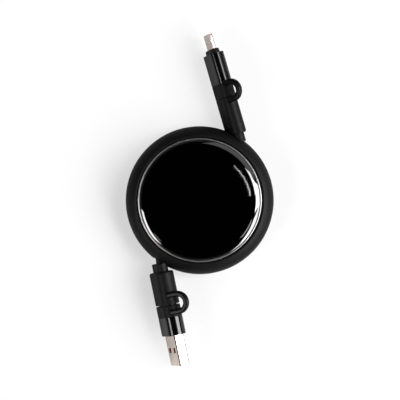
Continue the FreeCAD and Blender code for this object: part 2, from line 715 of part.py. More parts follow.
def flat_tab(side):
    """Tab plug: rounded tip, a detent notch in each edge and a bed of contacts on each face."""
    tip = side.sleeve_front + NOSE_LENGTH + TAB_LENGTH
    tail = side.sleeve_front - TAB_TAIL
    tab = bar(tail, tip, TAB_WIDTH, TAB_THICKNESS, TAB_EDGE)
    corner_x, corner_y = tip - TAB_CORNER, TAB_WIDTH / 2 - TAB_CORNER
    outline = [Vector(tail, -TAB_WIDTH / 2, 0), Vector(corner_x, -TAB_WIDTH / 2, 0)]
    edges = [Part.LineSegment(*outline).toShape()]
    low = [Vector(*arc_point((corner_x, -corner_y), TAB_CORNER, a), 0) for a in (-90, -45, 0)]
    high = [Vector(*arc_point((corner_x, corner_y), TAB_CORNER, a), 0) for a in (0, 45, 90)]
    edges += [Part.Arc(*low).toShape(), Part.LineSegment(low[2], high[0]).toShape()]
    edges.append(Part.Arc(*high).toShape())
    edges.append(Part.makePolygon([high[2], Vector(tail, TAB_WIDTH / 2, 0), outline[0]]))
    plan = Part.Face(Part.Wire([e for shape in edges for e in shape.Edges]))
    plan.translate(Vector(0, 0, -TAB_THICKNESS))
    tab = tab.common(plan.extrude(Vector(0, 0, 2 * TAB_THICKNESS)))
    notch_x = side.sleeve_front + NOSE_LENGTH + TAB_LENGTH / 2
    notch_y = TAB_WIDTH / 2 + NOTCH_RADIUS - NOTCH_DEPTH
    cuts = [
        Part.makeCylinder(NOTCH_RADIUS, 2 * TAB_THICKNESS, Vector(notch_x, y, -TAB_THICKNESS))
        for y in (-notch_y, notch_y)
    ]
    bed_start = tip - PAD_FROM_TIP - PAD_LENGTH - PAD_BORDER
    bed_end = tip - PAD_FROM_TIP + PAD_BORDER
    bed_width = (PAD_COUNT - 1) * PAD_PITCH + PAD_WIDTH + 2 * PAD_BORDER
    face_z = TAB_THICKNESS / 2
    cuts.append(block(bed_start, bed_end, bed_width, face_z - PAD_THICKNESS, TAB_THICKNESS))
    cuts.append(block(bed_start, bed_end, bed_width, -TAB_THICKNESS, PAD_THICKNESS - face_z))
    pad_start, pad_end = bed_start + PAD_BORDER, bed_end - PAD_BORDER
    pads = []
    for i in range(PAD_COUNT):
        y = (i - (PAD_COUNT - 1) / 2) * PAD_PITCH
        for bottom in (face_z - PAD_THICKNESS, -face_z):
            pad = block(pad_start, pad_end, PAD_WIDTH, bottom, bottom + PAD_THICKNESS)
            pads.append(placed(pad, Placement(Vector(0, y, 0), Rotation())))
    return tab.cut(cuts), Part.makeCompound(pads)


def upper_adapter():
    side = UPPER
    tail = side.sleeve_front - TAB_TAIL
    pieces = {f"upper_{name}": shape for name, shape in adapter_pieces(side, tail).items()}
    nose_front = side.sleeve_front + NOSE_LENGTH
    nose = Part.makeLoft(
        [
            section(side.sleeve_front, NOSE_WIDTH, NOSE_THICKNESS),
            section(nose_front, NOSE_WIDTH - 2 * NOSE_DRAFT, NOSE_THICKNESS - 2 * NOSE_DRAFT),
        ],
        True,
        True,
    )
    core = pieces["upper_core"].fuse(nose).removeSplitter()
    core = eased(core, nose_front, NOSE_ROUND)
    hole = bar(tail, nose_front, TAB_WIDTH + 2 * SEAT, TAB_THICKNESS + 2 * SEAT, TAB_EDGE)
    pieces["upper_core"] = core.cut(hole)
    pieces["flat_tab"], pieces["tab_contacts"] = flat_tab(side)
    return pieces


def box_plug(side):
    """Folded box shell with its square holes, the insulator in it and the contact strips."""
    rear = side.sleeve_front
    tip = rear + BOX_LENGTH
    tail = rear - BOX_TAIL_LENGTH
    hole_corner = max(BOX_CORNER - SHEET, SHEET)
    inner_width, inner_thickness = BOX_WIDTH - 2 * SHEET, BOX_THICKNESS - 2 * SHEET
    tail_inner_width, tail_inner_thickness = BOX_TAIL_WIDTH - 2 * SHEET, BOX_TAIL_THICKNESS - 2 * SHEET
    shell = bar(rear, tip, BOX_WIDTH, BOX_THICKNESS, BOX_CORNER)
    shell = shell.fuse(bar(tail, rear, BOX_TAIL_WIDTH, BOX_TAIL_THICKNESS, BOX_CORNER))
    hole_start = tip - HOLE_FROM_TIP - HOLE_SIZE / 2
    hole_end = hole_start + HOLE_SIZE
    cuts = [
        bar(rear + SHEET, tip, inner_width, inner_thickness, hole_corner),
        bar(tail, rear + SHEET, tail_inner_width, tail_inner_thickness, hole_corner),
    ]
    for y in (-HOLE_SPACING / 2, HOLE_SPACING / 2):
        window = block(hole_start, hole_end, HOLE_SIZE, -BOX_THICKNESS, BOX_THICKNESS)
        cuts.append(placed(window, Placement(Vector(0, y, 0), Rotation())))
    shell = shell.cut(cuts).removeSplitter()
    top = tail_inner_thickness / 2 - SEAT
    bottom = top - INSULATOR_THICKNESS
    front_start = rear + SHEET + SEAT
    insulator = block(front_start, tip - INSULATOR_SETBACK, inner_width - 2 * INSULATOR_GAP, bottom, top)
    insulator = insulator.fuse(
        block(tail, front_start, tail_inner_width - 2 * INSULATOR_GAP, bottom, top)
    ).removeSplitter()
    strip_end = tip - INSULATOR_SETBACK - STRIP_SETBACK
    strip = block(strip_end - STRIP_LENGTH, strip_end, STRIP_WIDTH, bottom - STRIP_THICKNESS, bottom)
    strips = [placed(strip, Placement(Vector(0, y, 0), Rotation())) for y in STRIP_PLACES]
    return shell, insulator, Part.makeCompound(strips)


def lower_adapter():
    side = LOWER
    tail = side.sleeve_front - BOX_TAIL_LENGTH
    pieces = {f"lower_{name}": shape for name, shape in adapter_pieces(side, tail).items()}
    hole = bar(
        tail,
        side.sleeve_front,
        BOX_TAIL_WIDTH + 2 * SEAT,
        BOX_TAIL_THICKNESS + 2 * SEAT,
        BOX_CORNER,
    )
    mouth = tube(
        side.body_front + SEAT,
        side.collar_rear,
        SOCKET_SEAT_WIDTH + 2 * MOUTH_WALL,
        SOCKET_SEAT_THICKNESS + 2 * MOUTH_WALL,
        MOUTH_WALL,
    )
    pieces["lower_core"] = pieces["lower_core"].cut(hole).fuse(mouth).removeSplitter()
    pieces["box_shell"], pieces["box_tongue"], pieces["box_contacts"] = box_plug(side)
    return pieces


def build():
    nodes = {}
    nodes["case_base"], nodes["case_top"], nodes["case_screws"] = case_halves()
    nodes["dome_cap"], nodes["cap_trim"], nodes["cap_adhesive"] = cap_pieces()
    nodes["ratchet_ball"] = ratchet_ball()
    nodes["reel_drum"], nodes["reel_cover"] = reel_pieces()
    nodes["mainspring"] = mainspring()
    nodes["cable_coil"] = cable_coil()
    for side, adapter in ((UPPER, upper_adapter()), (LOWER, lower_adapter())):
        nodes[f"{side.name}_lead"] = lead(side)
        pieces = {f"{side.name}_{name}": shape for name, shape in plug_pieces(side).items()}
        for name, shape in {**pieces, **adapter}.items():
            nodes[name] = placed(shape, side.placement)
    return nodes


os.makedirs("parts", exist_ok=True)
for node, shape in build().items():
    shape.exportStep(f"parts/{node}.step")
    print(f"{node}: {len(shape.Solids)} solid, {shape.Volume:.1f} mm3, valid {shape.isValid()}")
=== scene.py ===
# %% [markdown]
# # A retractable charging cable with two adapters
# A round case holds a reel of flat cable. The cable leaves it at two opposite sides, and each end has
# a plug that wears an adapter on a soft strap. The solids already have their true sizes and places, so
# every piece below takes its measures from them, and this lesson adds the soft edges, the surfaces, the
# light and the camera.

# %% Load the solids as a fixed frame
import json
import math

import bpy
from mathutils import Matrix, Vector


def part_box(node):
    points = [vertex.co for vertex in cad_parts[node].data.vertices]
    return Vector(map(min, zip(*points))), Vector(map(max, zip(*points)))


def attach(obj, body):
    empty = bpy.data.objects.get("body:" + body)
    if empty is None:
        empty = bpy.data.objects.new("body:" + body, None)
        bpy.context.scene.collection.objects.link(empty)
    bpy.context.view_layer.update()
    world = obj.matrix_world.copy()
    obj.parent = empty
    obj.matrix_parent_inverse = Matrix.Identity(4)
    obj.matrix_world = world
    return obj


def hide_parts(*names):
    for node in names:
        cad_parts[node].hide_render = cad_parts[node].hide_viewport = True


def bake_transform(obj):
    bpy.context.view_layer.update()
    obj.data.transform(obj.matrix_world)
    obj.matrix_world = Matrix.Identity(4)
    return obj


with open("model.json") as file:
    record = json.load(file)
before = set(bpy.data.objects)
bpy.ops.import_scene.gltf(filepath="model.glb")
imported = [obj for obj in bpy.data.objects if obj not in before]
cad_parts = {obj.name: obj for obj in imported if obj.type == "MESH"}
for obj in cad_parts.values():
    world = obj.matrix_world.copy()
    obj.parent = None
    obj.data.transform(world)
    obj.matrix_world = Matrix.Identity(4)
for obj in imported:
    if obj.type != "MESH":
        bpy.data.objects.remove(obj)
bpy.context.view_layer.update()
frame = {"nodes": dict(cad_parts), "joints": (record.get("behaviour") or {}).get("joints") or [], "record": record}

MM = 0.001

# %% [markdown]
# ## The plugs' own axes
# Both plugs are rolled about their own length, so nothing on them is square to the floor. A matrix for
# each plug, with X along it, Y across its wide way and Z through its thickness, lets every piece be
# modelled lying straight and then be turned into place in one step. The direction comes from the joint
# that draws the plug out, and the origin is the plug's tip.

# %% One matrix for each plug
ROLL = {"upper": math.radians(114.0), "lower": math.radians(68.5)}
TIP_MOUNT = {"upper": "tab_plug", "lower": "box_plug"}


def plug_matrix(side):
    joint = next(j for j in frame["joints"] if j["name"] == f"{side}_pull")
    mount = next(m for m in frame["record"]["mounts"] if m["name"] == TIP_MOUNT[side])
    heading = math.atan2(joint["axis"][1], joint["axis"][0])
    turn = Matrix.Rotation(heading, 4, "Z") @ Matrix.Rotation(ROLL[side], 4, "X")
    return Matrix.Translation(mount["pos_m"]) @ turn


PLUG = {side: plug_matrix(side) for side in ("upper", "lower")}


def measure(node, matrix):
    """Lowest and highest corner of a solid in a plug's own axes."""
    back = matrix.inverted()
    points = [back @ v.co for v in frame["nodes"][node].data.vertices]
    return [Vector(f(p[i] for p in points) for i in range(3)) for f in (min, max)]


for side in PLUG:
    low, high = measure(f"{side}_collar", PLUG[side])
    print(side, "collar, wide and thick:", [round(v / MM, 2) for v in (high - low)[1:]])

# %% [markdown]
# ## Hand tools
# Modelling by operators is like modelling by hand: an operator acts on what is selected. These helpers
# select faces or edges by a test on their place, so that each later step reads as one sentence. A piece
# is finished by leaving edit mode, smoothing its shading and moving it into place for good. The smoothing
# weighs each face by its size, so that a long face stays straight in a mirror up to its rounded end.

# %% Select, name and finish
MERGE = 1e-7
SAME_PLACE = 1e-6


def choose(piece, faces=None, edges=None):
    """In edit mode, select the faces whose polygon passes a test, or the edges whose two ends do."""
    bpy.ops.object.mode_set(mode="EDIT")
    bpy.ops.mesh.select_mode(type="FACE" if faces else "EDGE")
    bpy.ops.mesh.select_all(action="DESELECT")
    bpy.ops.object.mode_set(mode="OBJECT")
    mesh = piece.data
    for polygon in mesh.polygons if faces else ():
        polygon.select = faces(polygon)
    for edge in mesh.edges if edges else ():
        edge.select = all(edges(mesh.vertices[i].co) for i in edge.vertices)
    bpy.ops.object.mode_set(mode="EDIT")


def named(name):
    """Name the piece that was just added, and its mesh."""
    piece = bpy.context.object
    piece.name = piece.data.name = name
    return piece


def only(piece):
    """Make one piece the whole selection."""
    bpy.ops.object.select_all(action="DESELECT")
    piece.select_set(True)
    bpy.context.view_layer.objects.active = piece


def tidy_mesh(piece):
    """Merge doubles and point all faces outwards."""
    only(piece)
    bpy.ops.object.mode_set(mode="EDIT")
    bpy.ops.mesh.select_all(action="SELECT")
    bpy.ops.mesh.remove_doubles(threshold=MERGE)
    bpy.ops.mesh.normals_make_consistent(inside=False)
    bpy.ops.object.mode_set(mode="OBJECT")


def settle(piece, matrix=None, smooth=40.0):
    """Smooth the shading up to an angle and turn the piece into place, with its place in its mesh."""
    only(piece)
    bpy.ops.object.shade_smooth_by_angle(angle=math.radians(smooth))
    weigh = piece.modifiers.new("weigh", "WEIGHTED_NORMAL")
    weigh.keep_sharp = True
    bpy.ops.object.modifier_apply(modifier=weigh.name)
    if matrix:
        piece.matrix_world = matrix
    bpy.ops.object.transform_apply(location=True, rotation=True, scale=True)
    print(piece.name, len(piece.data.polygons), "faces")
    return piece


def cut(piece, cutter):
    """Take one closed mesh out of another, and throw the cutter away."""
    only(piece)
    tool = piece.modifiers.new("cut", "BOOLEAN")
    tool.object = cutter
    tool.solver = "EXACT"
    bpy.ops.object.modifier_apply(modifier=tool.name)
    bpy.data.objects.remove(cutter)


def fit(piece, body, slot, *nodes):
    """The piece rides on a body and stands for its solids, which it hides. The slot is not used."""
    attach(piece, body)
    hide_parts(*nodes)


# %% [markdown]
# ## Finishes
# Shader maths reads best as sums. This small class wraps a socket so that plus, minus and times add
# Math nodes, and one method adds any other node. All patterns read Object coordinates in metres, so a
# scale of 4000 gives a grain of about a quarter of a millimetre on every piece alike.

# %% Sockets that can be added and multiplied
class Wire:
    def __init__(self, tree, socket=None):
        self.tree = tree
        self.socket = socket

    def node(self, kind, settings=None, values=None, out=0):
        made = self.tree.nodes.new(kind)
        for name, value in (settings or {}).items():
            setattr(made, name, value)
        for name, value in (values or {}).items():
            if isinstance(value, Wire):
                self.tree.links.new(value.socket, made.inputs[name])
            else:
                made.inputs[name].default_value = value
        return Wire(self.tree, made.outputs[out])

    def math(self, operation, first, second):
        return self.node("ShaderNodeMath", {"operation": operation}, {0: first, 1: second})

    def rise(self, start, end):
        """Smoothly from 0 where this value is at the start to 1 where it is at the end."""
        limits = {"Value": self, "From Min": start, "From Max": end}
        return self.node("ShaderNodeMapRange", {"interpolation_type": "SMOOTHSTEP"}, limits)

    def mix(self, first, second):
        """The first colour where this value is 0 and the second where it is 1."""
        return self.node("ShaderNodeMix", {"data_type": "RGBA"}, {0: self, 6: first, 7: second}, out=2)

    def noise(self, scale, detail):
        return self.node("ShaderNodeTexNoise", values={"Vector": self, "Scale": scale, "Detail": detail})

    def __add__(self, other):
        return self.math("ADD", self, other)

    def __sub__(self, other):
        return self.math("SUBTRACT", self, other)

    def __rsub__(self, other):
        return self.math("SUBTRACT", other, self)

    def __mul__(self, other):
        return self.math("MULTIPLY", self, other)

    __radd__ = __add__
    __rmul__ = __mul__

    def into(self, node, socket):
        self.tree.links.new(self.socket, node.inputs[socket])


def grey(value, tint=(1.0, 1.0, 1.0)):
    """A grey, or a tone of a tint."""
    return (*(value * share for share in tint), 1.0)


def new_finish(name, **sockets):
    """A material, its root wire and its shader, with the values that are the same all over."""
    made = bpy.data.materials.new(name)
    made.use_nodes = True
    shader = made.node_tree.nodes["Principled BSDF"]
    for socket, value in sockets.items():
        shader.inputs[socket.replace("_", " ")].default_value = value
    return made, Wire(made.node_tree), shader


# %% [markdown]
# ### Moulded black plastic
# The case and the plugs are moulded in a tool with a fine sparked texture, so they have no mirror in
# them: a broad, soft sheen with a grain that is only seen up close. Two noises do this. The slow one
# moves the tone, both move the roughness a little, and the fast one is the grain that the Bump node raises.

# %% Moulded black
CLOUD_SCALE = 260.0
CLOUD_SHARE = 0.12
GRAIN_SHARE = 0.1
GRAIN_STRENGTH = 0.5


def moulded(name, tone, roughness, grain_scale, grain_height, tint=(1.0, 1.0, 1.0)):
    made, wire, shader = new_finish(name, IOR=1.4, Specular_IOR_Level=0.2)
    place = wire.node("ShaderNodeTexCoord", out="Object")
    cloud = place.noise(CLOUD_SCALE, 4.0)
    grain = place.noise(grain_scale, 3.0)
    cloud.mix(grey(tone * 0.8, tint), grey(tone * 1.2, tint)).into(shader, "Base Color")
    spread = (cloud - 0.5) * CLOUD_SHARE + (grain - 0.5) * GRAIN_SHARE
    (roughness + spread).into(shader, "Roughness")
    raised = {"Strength": GRAIN_STRENGTH, "Distance": grain_height, "Height": grain}
    wire.node("ShaderNodeBump", values=raised).into(shader, "Normal")
    return made


# %% [markdown]
# ### Gloss
# The dome and the sleeves are polished. What shows on them is almost only what they mirror, so the
# base is nearly black and the roughness low. A faint, wide noise in the roughness keeps the highlights
# from looking drawn with a ruler.

# %% Glossy black
HAZE_SCALE = 120.0


def glossy(name, tone, roughness, index, level):
    made, wire, shader = new_finish(name, IOR=index, Specular_IOR_Level=level)
    place = wire.node("ShaderNodeTexCoord", out="Object")
    haze = place.noise(HAZE_SCALE, 5.0)
    haze.mix(grey(tone * 0.7), grey(tone * 1.3)).into(shader, "Base Color")
    (roughness * 0.7 + haze * (roughness * 0.6)).into(shader, "Roughness")
    return made


# %% [markdown]
# ### Metal
# Plated sheet has fine rolling marks along it. A noise that is squeezed hard in two directions and
# left long in the third is such a set of lines. It moves the roughness and raises the surface a little,
# and a second noise stains the tone. Along some long edges of the two metal plugs a dark line is painted
# into the colour: painted shade that stands for the dark that a rounded metal edge mirrors. Such an edge
# is a line in the plug's own axes, and the distance from it says how dark the painted line is.

# %% Plated metal with rolling marks and painted dark edge lines
ROLLING_SCALE = (60.0, 2600.0, 2600.0)
MARKS_STRENGTH = 0.15
MARKS_HEIGHT = 0.004 * MM
STAIN_SCALE = 500.0
# Painted shade along listed metal edges: fully dark within the first distance, clear beyond the second.
PAINTED_LINE_FULL = 0.35 * MM
PAINTED_LINE_CLEAR = 0.55 * MM
PAINTED_LINE_TONE = 0.02


def plated(name, colour, roughness, edges=()):
    made, wire, shader = new_finish(name, Metallic=1.0)
    place = wire.node("ShaderNodeTexCoord", out="Object")
    marks = wire.node("ShaderNodeMapping", values={"Vector": place, "Scale": ROLLING_SCALE}).noise(1.0, 3.0)
    tone = place.noise(STAIN_SCALE, 3.0).mix(grey(0.88, colour), grey(1.0, colour))
    for matrix, side, level in edges:
        own = {"Vector": place, "Location": matrix.translation, "Rotation": matrix.to_euler()}
        straight = wire.node("ShaderNodeMapping", {"vector_type": "TEXTURE"}, own)
        to_edge = {0: straight, 1: (0.0, 1.0, 1.0), 2: (0.0, -side, -level)}
        across = wire.node("ShaderNodeVectorMath", {"operation": "MULTIPLY_ADD"}, to_edge)
        away = wire.node("ShaderNodeVectorMath", {"operation": "LENGTH"}, {0: across}, out="Value")
        # Painted shade: the colour goes dark near each listed edge, standing for the dark that the edge would
        # mirror.
        tone = away.rise(PAINTED_LINE_CLEAR, PAINTED_LINE_FULL).mix(tone, grey(PAINTED_LINE_TONE))
    tone.into(shader, "Base Color")
    (roughness + (marks - 0.5) * roughness * 0.8).into(shader, "Roughness")
    raised = {"Strength": MARKS_STRENGTH, "Distance": MARKS_HEIGHT, "Height": marks}
    wire.node("ShaderNodeBump", values=raised).into(shader, "Normal")
    return made


# %% [markdown]
# ### One finish for each slot
# A moulded finish has a tone, a roughness, a grain per metre and its height, and perhaps a tint. A glossy
# one has a tone, a roughness, an index of refraction and a level, and a plated one a colour and a roughness.

# %% Every finish of the record
# The edges of the metal plugs that get a painted dark line, standing for the dark they mirror.
PAINTED_EDGE_LINES = []
low, high = measure("flat_tab", PLUG["upper"])
PAINTED_EDGE_LINES.append((PLUG["upper"], high.y, high.z))
low, high = measure("box_shell", PLUG["lower"])
PAINTED_EDGE_LINES.append((PLUG["lower"], high.y, high.z))
PAINTED_EDGE_LINES.append((PLUG["lower"], high.y, low.z))

FINISH = {
    "case_matte": moulded("case_matte", 0.003, 0.5, 1500.0, 0.12 * MM),
    "plug_matte": moulded("plug_matte", 0.004, 0.48, 2000.0, 0.06 * MM),
    "tether_soft": moulded("tether_soft", 0.002, 0.28, 3600.0, 0.015 * MM),
    "cable_jacket": moulded("cable_jacket", 0.012, 0.55, 3000.0, 0.02 * MM),
    "core_plastic": moulded("core_plastic", 0.009, 0.34, 2500.0, 0.008 * MM),
    "reel_plastic": moulded("reel_plastic", 0.62, 0.42, 1500.0, 0.01 * MM, (1.0, 0.98, 0.96)),
    "adhesive": moulded("adhesive", 0.08, 0.8, 1800.0, 0.03 * MM),
    "board": moulded("board", 0.05, 0.4, 1200.0, 0.01 * MM),
    "insulator_orange": moulded("insulator_orange", 0.32, 0.6, 1500.0, 0.01 * MM, (1.0, 0.05, 0.01)),
    "dome_gloss": glossy("dome_gloss", 0.0003, 0.025, 1.7, 0.9),
    "sleeve_gloss": glossy("sleeve_gloss", 0.002, 0.11, 1.5, 0.5),
    "plug_nickel": plated("plug_nickel", (1.0, 0.89, 0.82), 0.5, PAINTED_EDGE_LINES),
    "contact_gold": plated("contact_gold", (1.0, 0.97, 0.94), 0.64),
    "steel": plated("steel", (0.6, 0.6, 0.6), 0.3),
    "trim_bright": plated("trim_bright", (0.5, 0.485, 0.48), 0.34),
}
print("finishes:", len(FINISH))

# %% [markdown]
# ## The dome
# The glossy disc is a shallow dome with a rounded shoulder: a gentle crown, a shoulder and a tighter
# edge above a short upright side. It is a turned shape, so its outline is drawn once, vertex by vertex,
# and spun. The arcs have many points, because a mirror shows every corner of a coarse outline.

# %% Draw an outline and spin it
SPIN_STEPS = 256


def arc(centre, radius, start, end, steps):
    """Points of an arc by its angles in degrees, with its first point left out."""
    angles = (math.radians(start + (end - start) * i / steps) for i in range(1, steps + 1))
    return [(centre[0] + radius * math.cos(a), centre[1] + radius * math.sin(a)) for a in angles]


def spun(name, outline):
    """A solid turned about Z from a list of radii and heights."""
    bpy.ops.object.select_all(action="DESELECT")
    start = Vector((outline[0][0], 0, outline[0][1]))
    bpy.ops.mesh.primitive_plane_add(size=MM, location=start)
    piece = named(name)
    bpy.ops.object.transform_apply(location=True, rotation=True, scale=True)
    bpy.ops.object.mode_set(mode="EDIT")
    bpy.ops.mesh.select_all(action="SELECT")
    bpy.ops.mesh.merge(type="CENTER")
    for (r, z), (next_r, next_z) in zip(outline, outline[1:]):
        move = {"value": (next_r - r, 0, next_z - z)}
        bpy.ops.mesh.extrude_region_move(TRANSFORM_OT_translate=move)
    bpy.ops.mesh.select_all(action="SELECT")
    bpy.ops.mesh.spin(steps=SPIN_STEPS, angle=math.tau, center=(0, 0, 0), axis=(0, 0, 1))
    bpy.ops.object.mode_set(mode="OBJECT")
    tidy_mesh(piece)
    return piece


# %% Spin the dome
EDGE_ROUND = 0.6 * MM
SHOULDER_ROUND = 5.4 * MM
SIDE_HEIGHT = 1.6 * MM
SLOPES = (85.0, 32.0, 3.0)  # degrees, at the foot of the edge, the foot of the shoulder and the crown
DOME_WALL = 1.5 * MM
EDGE_STEPS = 24
CROWN_STEPS = 64

dome_low, dome_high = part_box("dome_cap")
at = (dome_high.x, dome_low.z + SIDE_HEIGHT)
outline = [(dome_high.x, dome_low.z), at]
for radius, steep, gentle in zip((EDGE_ROUND, SHOULDER_ROUND), SLOPES, SLOPES[1:]):
    lean = math.radians(steep)
    centre = (at[0] - radius * math.sin(lean), at[1] - radius * math.cos(lean))
    outline += arc(centre, radius, 90 - steep, 90 - gentle, EDGE_STEPS)
    at = outline[-1]
crown = at[0] / math.sin(math.radians(SLOPES[-1]))
outline += arc((0, dome_high.z - crown), crown, 90 - SLOPES[-1], 90, CROWN_STEPS)
ceiling = at[1] - DOME_WALL
outline += [(0, ceiling), (at[0], ceiling), (at[0], dome_low.z), (dome_high.x, dome_low.z)]
dome = settle(spun("dome", outline), smooth=30.0)
fit(dome, "case", "dome_gloss", "dome_cap")
dome.data.materials.append(FINISH["dome_gloss"])

# %% [markdown]
# ### The ring
# A thin bright ring lies round the disc. It is spun in the same way, and its top is a half round.

# %% Spin the bright ring round it
RING_STEPS = 12

trim_low, trim_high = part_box("cap_trim")
trim_round = (trim_high.x - dome_high.x) / 2
trim_middle = trim_high.x - trim_round
trim_side = trim_high.z - trim_round
outline = [(trim_high.x, trim_low.z), (trim_high.x, trim_side)]
outline += arc((trim_middle, trim_side), trim_round, 0, 180, RING_STEPS)
outline += [(trim_middle - trim_round, trim_low.z), (trim_high.x, trim_low.z)]
trim = settle(spun("trim_ring", outline), smooth=30.0)
fit(trim, "case", "trim_bright", "cap_trim")
trim.data.materials.append(FINISH["trim_bright"])

# %% [markdown]
# ## The plug bodies, collars and sleeves
# All of these are lengths of one section, an oblong with half-round ends. By hand: a plane the size of
# the section, its corners beveled until they meet, then extruded. A tube gets its end faces inset and
# bridged. The end edges are beveled last, wide where the moulding is soft and narrow where it is crisp.

# %% Lengths of an oblong
ROUND_STEPS = 14
CRISP = 0.2 * MM
CRISP_STEPS = 3
SOFT_STEPS = 6


def oblong(name, start, end, width, thickness, corner=None):
    """A solid length of the section along X, between two stations."""
    bpy.ops.object.select_all(action="DESELECT")
    bpy.ops.mesh.primitive_plane_add(size=1.0)
    piece = named(name)
    piece.scale = (thickness, width, 1.0)
    piece.rotation_euler = (0, math.pi / 2, 0)
    piece.location = (start, 0, 0)
    bpy.ops.object.transform_apply(location=True, rotation=True, scale=True)
    bpy.ops.object.mode_set(mode="EDIT")
    bpy.ops.mesh.select_all(action="SELECT")
    radius = thickness / 2 if corner is None else corner
    bpy.ops.mesh.bevel(offset=radius, segments=ROUND_STEPS, affect="VERTICES", clamp_overlap=False)
    bpy.ops.mesh.remove_doubles(threshold=MERGE)
    bpy.ops.mesh.extrude_region_move(TRANSFORM_OT_translate={"value": (end - start, 0, 0)})
    bpy.ops.object.mode_set(mode="OBJECT")
    tidy_mesh(piece)
    return piece


def hollowed(piece, wall):
    """Turn a solid length into a tube, by insetting both end faces and bridging them."""
    only(piece)
    choose(piece, faces=lambda polygon: abs(polygon.normal.x) > 0.9)
    bpy.ops.mesh.inset(thickness=wall)
    bpy.ops.mesh.bridge_edge_loops()
    bpy.ops.object.mode_set(mode="OBJECT")
    tidy_mesh(piece)


def eased(piece, station, radius, steps=SOFT_STEPS):
    """Bevel all edges that lie in one plane across X."""
    only(piece)
    choose(piece, edges=lambda point: abs(point.x - station) < SAME_PLACE)
    bpy.ops.mesh.bevel(offset=radius, segments=steps, affect="EDGES", clamp_overlap=True)
    bpy.ops.object.mode_set(mode="OBJECT")


# %% Strain reliefs and plug bodies
BODY_ROUND = 0.9 * MM
RELIEF_ROUND = 0.4 * MM

for side, matrix in PLUG.items():
    low, high = measure(f"{side}_strain_relief", matrix)
    relief = oblong(f"{side}_relief", low.x, high.x, *(high - low)[1:])
    eased(relief, low.x, RELIEF_ROUND)
    settle(relief, matrix)
    fit(relief, f"{side}_plug", "plug_matte", f"{side}_strain_relief")
    relief.data.materials.append(FINISH["plug_matte"])

    low, high = measure(f"{side}_plug_body", matrix)
    body = oblong(f"{side}_grip", low.x, high.x, *(high - low)[1:])
    eased(body, low.x, BODY_ROUND)
    eased(body, high.x, CRISP, CRISP_STEPS)
    oval_low, oval_high = measure(f"{side}_plug_shell", matrix)
    oval = oblong("oval", oval_low.x, oval_high.x, *(oval_high - oval_low)[1:])
    cut(body, oval)
    settle(body, matrix)
    fit(body, f"{side}_plug", "plug_matte", f"{side}_plug_body")
    body.data.materials.append(FINISH["plug_matte"])

# %% Collars and sleeves
SKIN = 0.9 * MM

for side, matrix in PLUG.items():
    for part, slot in (("collar", "plug_matte"), ("sleeve", "sleeve_gloss")):
        low, high = measure(f"{side}_{part}", matrix)
        skin = oblong(f"{side}_{part}_skin", low.x, high.x, *(high - low)[1:])
        hollowed(skin, SKIN)
        eased(skin, low.x, CRISP, CRISP_STEPS)
        eased(skin, high.x, CRISP, CRISP_STEPS)
        settle(skin, matrix)
        fit(skin, f"{side}_adapter", slot, f"{side}_{part}")
        skin.data.materials.append(FINISH[slot])

# %% [markdown]
# ## The straps
# Each adapter is kept on its plug by a soft strap bent to a D. Its section is a rounded square: a plane
# with beveled corners, extruded for the first leg, spun by half a turn for the bend and extruded again
# for the second leg. It lies flat in its own axes, which are the plug's axes turned by the strap's tilt.

# %% Bend the straps
STRAP_TILT = {"upper": math.radians(29.0), "lower": math.radians(-46.5)}
STRAP_CORNER = 0.9 * MM
CORNER_STEPS = 8
STRAP_STEPS = 40

for side, matrix in PLUG.items():
    own = matrix @ Matrix.Rotation(STRAP_TILT[side], 4, "X")
    low, high = measure(f"{side}_tether", own)
    size = high.z - low.z
    middle = (low + high) / 2
    bend = (high.x - low.x - size) / 2
    leg = Vector((0, high.y - bend - size / 2 - low.y, 0))
    bpy.ops.object.select_all(action="DESELECT")
    root = (middle.x - bend, low.y, middle.z)
    bpy.ops.mesh.primitive_plane_add(size=size, location=root, rotation=(math.pi / 2, 0, 0))
    strap = named(f"{side}_strap")
    bpy.ops.object.transform_apply(location=True, rotation=True, scale=True)
    bpy.ops.object.mode_set(mode="EDIT")
    bpy.ops.mesh.select_all(action="SELECT")
    bpy.ops.mesh.bevel(offset=STRAP_CORNER, segments=CORNER_STEPS, affect="VERTICES")
    bpy.ops.mesh.extrude_region_move(TRANSFORM_OT_translate={"value": leg})
    pivot = (middle.x, low.y + leg.y, middle.z)
    bpy.ops.mesh.spin(steps=STRAP_STEPS, angle=math.pi, center=pivot, axis=(0, 0, 1))
    bpy.ops.mesh.extrude_region_move(TRANSFORM_OT_translate={"value": -leg})
    bpy.ops.object.mode_set(mode="OBJECT")
    tidy_mesh(strap)
    settle(strap, own)
    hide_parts(f"{side}_tether")
    reach = bend - size / 2
    ends = [own @ Vector((middle.x + step, high.y, middle.z)) for step in (-reach, reach)]
    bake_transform(strap)
    strap.data.materials.append(FINISH["tether_soft"])

# %% [markdown]
# ## The flat cable
# The cable leaves the reel standing on its edge and turns by the plug's roll before it enters the strain
# relief. The upright half is one length of a rounded strip. The other half is extruded from its end in
# small steps, and each step is turned a little more.

# %% Extrude and twist the cable
TWIST_STEPS = 24
CABLE_WIDTH = 4.8 * MM
CABLE_THICKNESS = 1.4 * MM
JACKET_CORNER = 0.45 * MM

